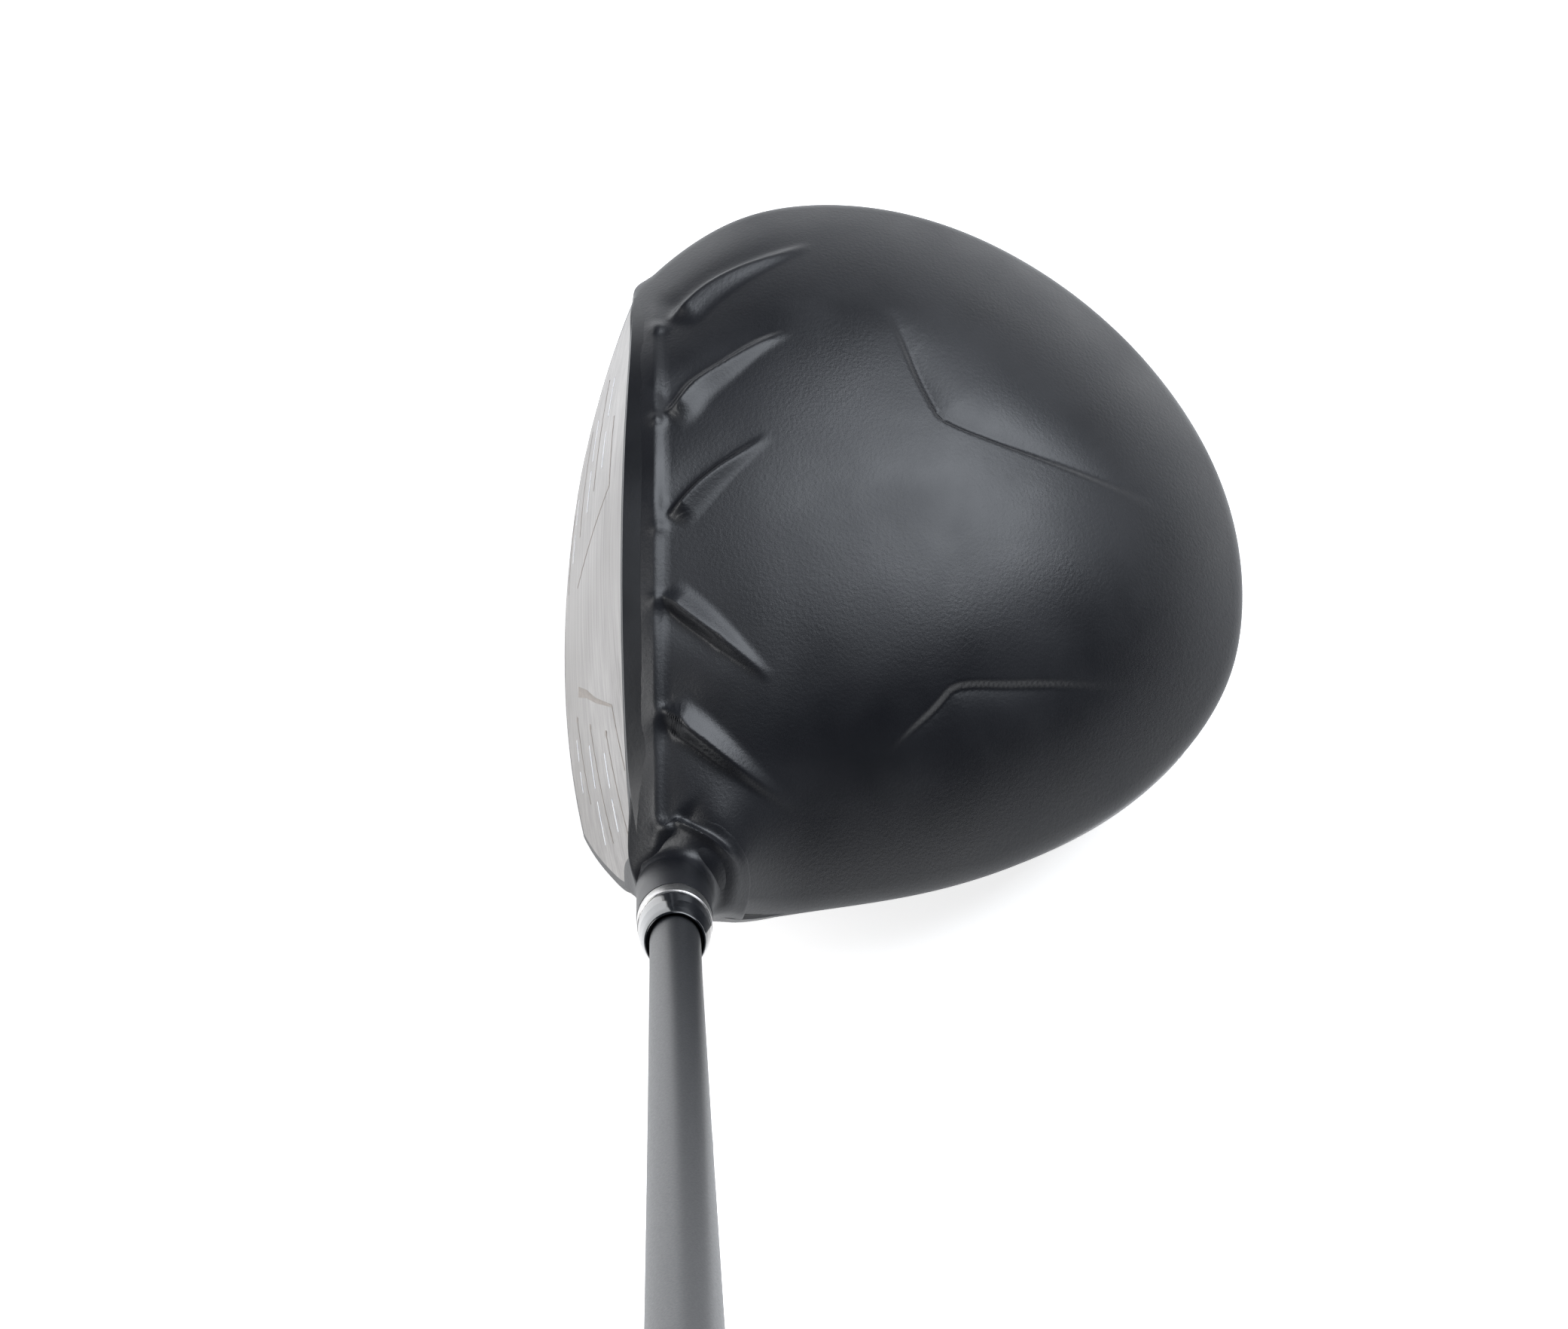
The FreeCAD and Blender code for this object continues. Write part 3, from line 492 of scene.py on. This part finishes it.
# ---------------------------------------------------------------- crown
def build_crown():
    columns, rows = 620, 140
    turn = np.linspace(0, 2 * math.pi, 4001)
    density = 1.0 + 0.9 * np.exp(-((turn - 1.5 * math.pi) / 0.9) ** 2)
    total = np.concatenate([[0], np.cumsum((density[1:] + density[:-1]) / 2)])
    angle = np.interp(np.linspace(0, total[-1], columns, endpoint=False), total, turn)
    rim, rim_z = rim_at(np.mod(angle + math.pi, 2 * math.pi) - math.pi)
    cx, cy = np.cos(angle), np.sin(angle)
    edge = np.stack([PEAK[0] + rim * cx, PEAK[1] + rim * cy, rim_z], 1)
    on_face = edge[:, 1] - face_y(edge[:, 0], edge[:, 2])
    front = 1 - smooth((on_face - 0.4) / 2.5)
    pull = 1.6 + (0.9 - 1.6) * front
    share_end = 1 - pull / rim
    share = (np.arange(1, rows + 1) / rows)[:, None] ** 0.93 * share_end[None, :]
    x, y = PEAK[0] + rim * share * cx, PEAK[1] + rim * share * cy
    z = crown_z(x.ravel(), y.ravel()) + crown_detail(x.ravel(), y.ravel())
    top = np.stack([x.ravel(), y.ravel(), z], 1)
    buried = neck_blend(top) - neck_gap(top)
    top[:, 2] -= 0.6 * smooth(buried / 2.0)
    start = top[-columns:]
    side = np.stack([edge[:, 0], edge[:, 1], rim_z - CROWN_THICKNESS], 1)
    lip_z = rim_z - 0.9
    lip = np.stack([edge[:, 0], face_y(edge[:, 0], lip_z) - 0.05, lip_z], 1)
    foot = side * (1 - front[:, None]) + lip * front[:, None]
    corner = edge + np.stack([0 * rim, -0.05 * front, 0 * rim], 1)
    corner[:, 2] = crown_z(edge[:, 0], edge[:, 1])
    roll = []
    for t in (0.14, 0.28, 0.43, 0.58, 0.72, 0.86, 1.0):
        roll.append((1 - t) ** 2 * start + 2 * t * (1 - t) * corner + t * t * foot)
    below = []
    for inward, depth in ((0.985, 1.35), (0.93, 1.3), (0.8, 1.3), (0.6, 1.3), (0.4, 1.3), (0.2, 1.3)):
        bx, by = PEAK[0] + rim * inward * cx, PEAK[1] + rim * inward * cy
        below.append(np.stack([bx, by, crown_z(bx, by) - depth], 1))
    peak_z = float(crown_z(PEAK[0], PEAK[1]) + crown_detail(PEAK[0], PEAK[1])[0])
    under_peak = (PEAK[0], PEAK[1], peak_z - CROWN_THICKNESS)
    points = np.vstack([[(PEAK[0], PEAK[1], peak_z)], top, *roll, *below, [under_peak]])
    count = rows + len(roll) + len(below)
    faces = fan(0, 1, columns) + grid_faces(count, columns, 1, flip=True)
    faces += fan(len(points) - 1, 1 + (count - 1) * columns, columns, flip=True)
    return piece("crown_skin", points, faces, CROWN_PAINT, "head", ["crown"], sharp=60.0)


# ---------------------------------------------------------------- neck
def shaft_coordinates(p):
    """Distance from the shaft's axis and height up it, for rows of points."""
    away = p - HOSEL_TOP
    height = away @ SHAFT_UP
    return np.linalg.norm(away - height[..., None] * SHAFT_UP, axis=-1), height


def smooth_max(a, b, width):
    t = np.clip(0.5 + 0.5 * (a - b) / width, 0, 1)
    return b * (1 - t) + a * t + width * t * (1 - t)


def neck_gap(p):
    """How far points lie outside the neck, which narrows away to nothing low in the head."""
    distance, height = shaft_coordinates(p)
    radius = NECK_R - 13.0 * smooth((-height - 31.0) / 26.0)
    return distance - radius


def neck_blend(p):
    behind_face = p[..., 1] - face_y(p[..., 0], p[..., 2])
    return FACE_SIDE_BLEND + (NECK_BLEND - FACE_SIDE_BLEND) * smooth(behind_face / 9.0)


def neck_field(p):
    """Negative inside the head and neck together, positive outside them."""
    x, y, z = p[..., 0], p[..., 1], p[..., 2]
    above = 0.9 * (z - crown_z(x, y))
    dx, dy = x - PEAK[0], y - PEAK[1]
    outside = 0.95 * (np.hypot(dx, dy) - skirt_r(np.arctan2(dy, dx), np.clip(z, 0, 60)))
    head = smooth_max(smooth_max(above, outside, 1.4), face_y(x, z) - y, 0.4)
    return -smooth_max(-head, -neck_gap(p), neck_blend(p)) - 0.03


def neck_hits(centre, ways):
    """Where rays from the centre leave the head and neck."""
    low, high = np.zeros(ways.shape[:-1]), np.full(ways.shape[:-1], 45.0)
    found = np.zeros(low.shape, bool)
    for t in np.arange(RAY_STEP, 45.0, RAY_STEP):
        out = (neck_field(centre + t * ways) > 0) & ~found
        low, high = np.where(out, t - RAY_STEP, low), np.where(out, t, high)
        found |= out
    for _ in range(14):
        middle = (low + high) / 2
        out = neck_field(centre + middle[..., None] * ways) > 0
        low, high = np.where(out, low, middle), np.where(out, middle, high)
    return centre + high[..., None] * ways


def build_neck():
    """The neck and its fillet, as rays from a point on the shaft's axis low in the head."""
    columns, rows, coarse = 200, 84, 110
    centre = HOSEL_TOP - NECK_ROOT * SHAFT_UP
    turn = np.linspace(0, 2 * math.pi, columns, endpoint=False)
    side = np.cos(turn)[:, None] * TOEWARD + np.sin(turn)[:, None] * BACKWARD
    start = math.atan2(NECK_R, NECK_ROOT - 0.02)

    def ways(angle):
        return np.cos(angle)[..., None] * SHAFT_UP + np.sin(angle)[..., None] * side[:, None, :]

    scan = np.broadcast_to(np.linspace(start, math.radians(165), coarse), (columns, coarse))
    hits = neck_hits(centre, ways(scan))
    clear = neck_gap(hits) > neck_blend(hits) + 1.0
    clear[:, -1] = True
    last = scan[np.arange(columns), np.argmax(clear, axis=1)]
    for _ in range(6):
        last = (np.roll(last, 1) + 2 * last + np.roll(last, -1)) / 4
    share = np.linspace(0, 1, rows)[None, :]
    angle = start + (last[:, None] - start) * share
    points = neck_hits(centre, ways(angle))
    x, y = points[..., 0].ravel(), points[..., 1].ravel()
    on_crown = 0.9 * (points[..., 2] - crown_z(points[..., 0], points[..., 1])).ravel()
    weight = smooth(neck_gap(points).ravel() / 5.0) * smooth((on_crown + 2.0) / 1.5)
    points[..., 2] += (crown_detail(x, y) * weight).reshape(columns, rows)
    for k, sink in ((rows - 1, 0.10), (rows - 2, 0.05), (rows - 3, 0.02)):
        points[:, k] -= sink * ways(angle)[:, k]
    points[:, 0] = on_shaft(NECK_R, turn, -0.02)
    ring = points.transpose(1, 0, 2)
    foot = centre + 0.9 * (ring[-1] - centre)
    cap = on_shaft(5.45, turn, -0.02)
    well = on_shaft(5.45, turn, -4.0)
    points = np.vstack([cap, ring.reshape(-1, 3), foot, [centre], well, [HOSEL_TOP - 4.0 * SHAFT_UP]])
    faces = grid_faces(rows + 2, columns)
    middle = (rows + 2) * columns
    faces += fan(middle, (rows + 1) * columns, columns, flip=True)
    well_start = middle + 1
    faces += [(well_start + j, well_start + (j + 1) % columns, (j + 1) % columns, j) for j in range(columns)]
    faces += fan(well_start + columns, well_start, columns)
    return piece("neck_skin", points, faces, CROWN_PAINT, "head", (), sharp=50.0)


# ---------------------------------------------------------------- face marks
def on_face(points, lift):
    p = np.array(points, float)
    return np.stack([p[:, 0], face_y(p[:, 0], p[:, 1]) - lift, p[:, 1]], 1)


def face_stroke(name, path, widths, look, lift=0.035):
    """A flat ribbon laid on the face, with a closed thin section."""
    p = np.array(path, float)
    length = np.concatenate([[0], np.cumsum(np.linalg.norm(np.diff(p, axis=0), axis=1))])
    count = max(8, int(length[-1] / 0.6))
    at = np.linspace(0, length[-1], count)
    line = np.stack([np.interp(at, length, p[:, k]) for k in (0, 1)], 1)
    along = np.gradient(line, axis=0)
    along /= np.linalg.norm(along, axis=1)[:, None]
    across = np.stack([-along[:, 1], along[:, 0]], 1)
    half = np.interp(at, length, np.linspace(widths[0], widths[1], len(p)))[:, None] / 2
    rim = [on_face(line + across * half, -0.03), on_face(line + across * half * 0.9, lift),
           on_face(line - across * half * 0.9, lift), on_face(line - across * half, -0.03)]
    points = np.stack(rim, 1).reshape(-1, 3)
    faces = grid_faces(count, 4)
    faces += [(0, 1, 2, 3), tuple(4 * (count - 1) + k for k in (3, 2, 1, 0))]
    return piece(name, points, faces, look, "head", (), sharp=60.0)


def face_dot(name, middle, radius):
    turn = np.linspace(0, 2 * math.pi, 24, endpoint=False)
    ring = np.stack([np.cos(turn), np.sin(turn)], 1) * radius + np.array(middle)
    inner = ring * 0.97 + np.array(middle) * 0.03
    points = np.vstack([on_face(ring, -0.03), on_face(inner, 0.045), on_face([middle], 0.045)])
    faces = grid_faces(2, 24) + fan(48, 24, 24) + [tuple(range(23, -1, -1))]
    return piece(name, points, faces, ETCHED, "head", (), sharp=60.0)


def build_face_marks():
    for k, (height, spans) in enumerate(DASHES):
        for j, (low, high) in enumerate(spans):
            path = [(low, height), ((low + high) / 2, height), (high, height)]
            face_stroke("dash_%d_%d" % (k, j), path, (0.55, 0.55), WHITE_PAINT)
    for k, path in enumerate(ETCHED_LINES):
        face_stroke("etched_%d" % k, path, (0.35, 0.35), ETCHED)
    face_stroke("etched_stroke", ETCHED_STROKE, (2.0, 0.5), ETCHED)
    for k, middle in enumerate(ETCHED_DOTS):
        face_dot("etched_dot_%d" % k, middle, 0.6)


# ---------------------------------------------------------------- ring, ferrule and grip
def build_trim():
    ring = [(5.35, 0.05), (6.35, 0.05), (6.35, 4.95), (5.35, 4.95)]
    lathe("ring_band", rounded(ring, 0.25), RING_METAL, "ring", ["hosel_ring"])
    ferrule = [(4.35, 5.0), (6.2, 5.0), (6.15, 7.0), (5.95, 10.5), (5.5, 13.8), (5.15, 15.6), (4.8, 15.8),
               (4.78, 14.2), (4.3, 14.2)]
    lathe("ferrule_skin", rounded(ferrule, 0.35), FERRULE_GLOSS, "shaft_unit", ["ferrule"])


def grip_radius(height):
    """The grip's plain outside: a beaded mouth, a slow taper and a straight butt."""
    marks = [(0.0, 9.3), (1.5, 10.5), (7.0, 10.5), (9.0, 9.9), (120.0, 10.9), (255.0, 13.1), (267.0, 13.1)]
    return np.interp(height - GRIP_LOW, [h for h, _ in marks], [v for _, v in marks])


def build_grip():
    """Grip with rows of small cut diamonds in bands, and rings cut between the bands."""
    columns, rows = 160, 620
    turn = np.linspace(0, 2 * math.pi, columns, endpoint=False)
    height = np.linspace(GRIP_LOW, GRIP_HIGH, rows)
    radius = grip_radius(height)[:, None] * np.ones((1, columns))
    local = (height - GRIP_LOW)[:, None]
    twist = 2 * math.pi * local / DIAMOND_PITCH
    around = DIAMONDS_ROUND * turn[None, :]
    weave = np.cos(around + twist) * np.cos(around - twist)
    first, last_height, spacing = PATTERN_SPAN
    patterned = (local > first) & (local < last_height)
    band = (np.mod(local - first, spacing) < 52.0) & patterned
    radius = radius - np.where(band, 0.28 * smooth((weave + 0.15) / 0.3), 0.0)
    ring = patterned & (np.abs(np.mod(local - first, spacing) - 56.0) < 0.8)
    radius = radius - np.where(ring, 0.35, 0.0)
    outside = on_shaft(radius, turn[None, :], height[:, None])
    bore_height = height[::-40][:, None]
    bore = on_shaft(np.interp(bore_height, [GRIP_LOW, GRIP_HIGH], GRIP_BORE), turn[None, :], bore_height)
    points = np.vstack([outside.reshape(-1, 3), bore.reshape(-1, 3)])
    count = rows + len(bore)
    faces = grid_faces(count, columns)
    last = (count - 1) * columns
    faces += [(last + j, last + (j + 1) % columns, (j + 1) % columns, j) for j in range(columns)]
    piece("grip_skin", points, faces, RUBBER, "shaft_unit", ["grip"], sharp=70.0)


def build_grip_cap():
    outline = [(1.6, 1086.0), (13.3, 1086.0), (13.7, 1087.0), (13.7, 1090.5), (12.6, 1091.7), (9.8, 1092.0),
               (9.4, 1091.6), (7.0, 1091.6), (6.6, 1092.0), (1.6, 1092.0)]
    lathe("grip_cap_skin", rounded(outline, 0.5), CAP_RUBBER, "shaft_unit", ["grip_cap"])


# ---------------------------------------------------------------- weight
def on_screw(plan, distance):
    """Points across and up from the weight screw's axis, at a distance out from the track's axis."""
    out = np.array((math.cos(HEEL_ANGLE), math.sin(HEEL_ANGLE), 0.0))
    across = np.array((-math.sin(HEEL_ANGLE), math.cos(HEEL_ANGLE), 0.0))
    return TRACK_AXIS + distance * out + plan[:, :1] * across + plan[:, 1:] * np.array((0.0, 0.0, 1.0))


def build_weight():
    """The weight's block with rounded edges and a countersunk hole over its screw."""
    inner, outer = WEIGHT_RADII
    columns, hole = 96, SCREW_HEAD_R + 0.15
    half_span = WEIGHT_HALF_ANGLE * outer
    turn = np.linspace(0, 2 * math.pi, columns, endpoint=False)
    # the block's outline seen along the screw, as a rounded rectangle
    u = np.sign(np.cos(turn)) * np.abs(np.cos(turn)) ** CORNER_POWER * half_span
    v = np.sign(np.sin(turn)) * np.abs(np.sin(turn)) ** CORNER_POWER * WEIGHT_HALF_HEIGHT
    circle = np.stack([np.cos(turn), np.sin(turn)], 1)
    shape = np.stack([u, v], 1)
    seat = outer - SEAT_DEPTH
    levels = [(inner, 0.97, None), (inner + 0.4, 1.0, None), (outer - 0.8, 1.0, None),
              (outer - 0.25, 0.97, None), (outer, 0.90, None), (outer, None, hole + 0.3),
              (outer - 0.3, None, hole), (seat, None, hole), (seat, None, SCREW_HOLE_R),
              (inner, None, SCREW_HOLE_R)]
    rings = []
    for r, scale, bore in levels:
        plan = shape * scale if bore is None else circle * bore
        # points keep to an arc about the track's axis outside the hole, and to the screw's axis inside it
        angle = HEEL_ANGLE + plan[:, 0] / outer
        if bore is None or r == outer:
            rings.append(TRACK_AXIS + np.stack([r * np.cos(angle), r * np.sin(angle), plan[:, 1]], 1))
        else:
            rings.append(on_screw(plan, r))
    points = np.vstack(rings)
    faces = grid_faces(len(rings), columns)
    last = (len(rings) - 1) * columns
    faces += [(last + j, last + (j + 1) % columns, (j + 1) % columns, j) for j in range(columns)]
    piece("weight_skin", points, faces, TUNGSTEN, "weight_unit", ["rear_weight"], sharp=30.0)


build_crown()
build_neck()
build_face_marks()
build_trim()
build_grip()
build_grip_cap()
build_weight()

# ---------------------------------------------------------------- materials on the CAD pieces that stay
LOOKS = {
    "body": BODY_PAINT, "crown_bond": ADHESIVE, "face_plate": FACE_METAL, "hosel_ring": RING_METAL,
    "hosel_sleeve": STEEL, "ferrule": FERRULE_GLOSS, "tip_plug": DARK_PLASTIC, "hosel_bolt": STEEL,
    "bolt_washer": STEEL, "bolt_retainer": DARK_PLASTIC, "shaft": SHAFT_MATTE, "counterweight": STEEL,
    "grip_tape": DARK_PLASTIC, "grip": RUBBER, "grip_cap": RUBBER, "rear_weight": TUNGSTEN,
    "weight_shoe": DARK_PLASTIC, "weight_clamp": STEEL, "weight_screw": STEEL, "screw_washer": STEEL,
}
for name, look in LOOKS.items():
    cad = NODES[name]
    cad.data.materials.clear()
    cad.data.materials.append(look)


# ---------------------------------------------------------------- studio
def area_light(name, place, target, size, power, colour=(1, 1, 1)):
    lamp = bpy.data.lights.new(name, "AREA")
    lamp.shape = "RECTANGLE"
    lamp.size, lamp.size_y = size
    lamp.energy = power
    lamp.color = colour
    made = bpy.data.objects.new(name, lamp)
    made.location = place
    made.rotation_euler = (Vector(target) - Vector(place)).to_track_quat("-Z", "Y").to_euler()
    bpy.context.scene.collection.objects.link(made)


def build_floor():
    mesh = bpy.data.meshes.new("floor")
    reach, level = 12.0, -0.0006
    corners = [(-reach, -reach, level), (reach, -reach, level), (reach, reach, level), (-reach, reach, level)]
    mesh.from_pydata(corners, [], [(0, 1, 2, 3)])
    look, tree, shader = material("floor_white", (0.86, 0.86, 0.86), 0.9, specular=0.1, emission=0.8)
    broad = noise(tree, 1.2)
    uneven_gloss(tree, shader, broad.outputs["Fac"], 0.85, 0.95)
    mesh.materials.append(look)
    floor = bpy.data.objects.new("floor", mesh)
    bpy.context.scene.collection.objects.link(floor)


def build_world():
    world = bpy.data.worlds.new("studio")
    bpy.context.scene.world = world
    world.use_nodes = True
    tree = world.node_tree
    back = tree.nodes["Background"]
    where = node(tree, "ShaderNodeTexCoord")
    split = node(tree, "ShaderNodeSeparateXYZ")
    ramp = node(tree, "ShaderNodeValToRGB")
    ramp.color_ramp.elements[0].position, ramp.color_ramp.elements[0].color = 0.02, (0.85, 0.87, 0.90, 1)
    ramp.color_ramp.elements[1].position, ramp.color_ramp.elements[1].color = 0.20, (0.016, 0.018, 0.022, 1)
    tree.links.new(where.outputs["Generated"], split.inputs["Vector"])
    tree.links.new(split.outputs["Z"], ramp.inputs["Fac"])
    tree.links.new(ramp.outputs["Color"], back.inputs["Color"])
    back.inputs["Strength"].default_value = 1.0


build_floor()
build_world()
area_light("softbox_back", (-0.9, 0.85, 1.85), (0, 0.02, 0.04), (1.7, 1.7), 62.0, (0.88, 0.93, 1.0))
area_light("softbox_left", (0.3, -1.6, 1.7), (0.1, 0, 0.1), (1.2, 0.8), 22.0)


def build_camera():
    """A long lens over the player's side, looking down and towards the toe."""
    elevation, yaw, distance = math.radians(70.0), math.radians(1.5), 915.0
    lens = bpy.data.cameras.new("camera")
    lens.sensor_width = 36.0
    lens.lens = 122.8
    lens.clip_start, lens.clip_end = 0.05, 100.0
    camera = bpy.data.objects.new("camera", lens)
    ahead = Vector((-math.cos(elevation), 0.0, -math.sin(elevation)))
    forward = (math.cos(yaw) * ahead + math.sin(yaw) * Vector((0.0, 1.0, 0.0))).normalized()
    above = Vector((-math.sin(elevation), 0.0, math.cos(elevation)))
    right = forward.cross(above).normalized()
    up = right.cross(forward)
    turn = Matrix((right, up, -forward)).transposed()
    place = Vector((22.8, -1.2, 63.9)) - distance * forward
    camera.matrix_world = Matrix.Translation(place * MM) @ turn.to_4x4()
    bpy.context.scene.collection.objects.link(camera)
    bpy.context.scene.camera = camera


build_camera()
bpy.context.scene.view_settings.view_transform = "Standard"
bpy.context.view_layer.update()
